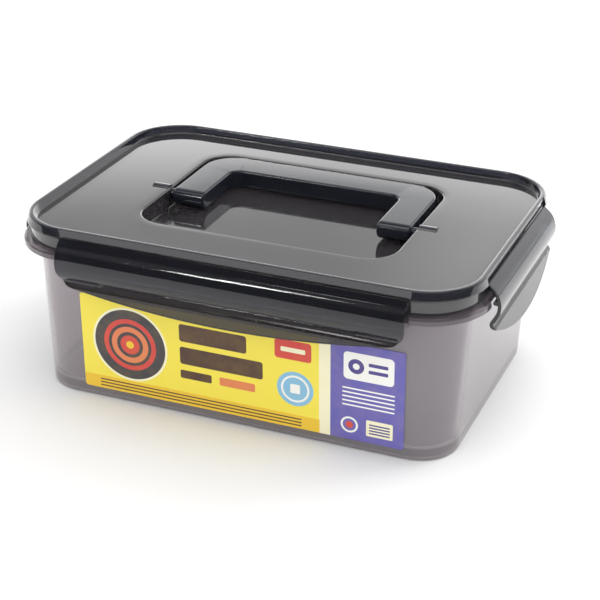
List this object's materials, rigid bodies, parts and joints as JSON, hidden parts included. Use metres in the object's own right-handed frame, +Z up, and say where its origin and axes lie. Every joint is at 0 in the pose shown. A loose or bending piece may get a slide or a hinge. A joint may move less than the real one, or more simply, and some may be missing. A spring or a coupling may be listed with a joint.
{
  "type": "food storage container",
  "caption": "Oblong smoky plastic food box with a clip-on lid, hinged latches along its rim and a carry handle that folds into a well.",
  "frame": {"origin": "middle of the foot's underside, on the surface that the container stands on", "axes": "+Z up, +X along the length to the right of the label, -Y out of the front, which carries the label"},
  "size_m": [0.2396, 0.1702, 0.0885],
  "materials": {
    "tub_plastic": "glossy, slightly see-through smoke grey",
    "label_film": "printed film",
    "lid_plastic": "glossy dark smoke",
    "seal_silicone": "matt translucent silicone",
    "handle_plastic": "glossy",
    "latch_plastic": "glossy dark smoke"
  },
  "bodies": {
    "tub_body": {"tub": "tub_plastic", "label": "label_film"},
    "lid_body": {"lid": "lid_plastic", "seal": "seal_silicone"},
    "handle_body": {"handle": "handle_plastic"},
    "latch_front_body": {"latch_front": "latch_plastic"},
    "latch_back_body": {"latch_back": "latch_plastic"},
    "latch_left_body": {"latch_left": "latch_plastic"},
    "latch_right_body": {"latch_right": "latch_plastic"}
  },
  "joints": [
    {"name": "lid_lift", "type": "slide", "parent": "tub_body", "child": "lid_body", "axis": [0, 0, 1], "range_m": [0, 0.06]},
    {"name": "handle_fold", "type": "hinge", "parent": "lid_body", "child": "handle_body", "pos_m": [0, -0.0005, 0.0815], "axis": [1, 0, 0], "range_deg": [0, 90]},
    {"name": "latch_front_open", "type": "hinge", "parent": "lid_body", "child": "latch_front_body", "pos_m": [0, -0.0786, 0.0836], "axis": [-1, 0, 0], "range_deg": [0, 115]},
    {"name": "latch_back_open", "type": "hinge", "parent": "lid_body", "child": "latch_back_body", "pos_m": [0, 0.0786, 0.0836], "axis": [1, 0, 0], "range_deg": [0, 115]},
    {"name": "latch_left_open", "type": "hinge", "parent": "lid_body", "child": "latch_left_body", "pos_m": [-0.1126, 0, 0.0836], "axis": [0, 1, 0], "range_deg": [0, 115]},
    {"name": "latch_right_open", "type": "hinge", "parent": "lid_body", "child": "latch_right_body", "pos_m": [0.1126, 0, 0.0836], "axis": [0, -1, 0], "range_deg": [0, 115]}
  ]
}
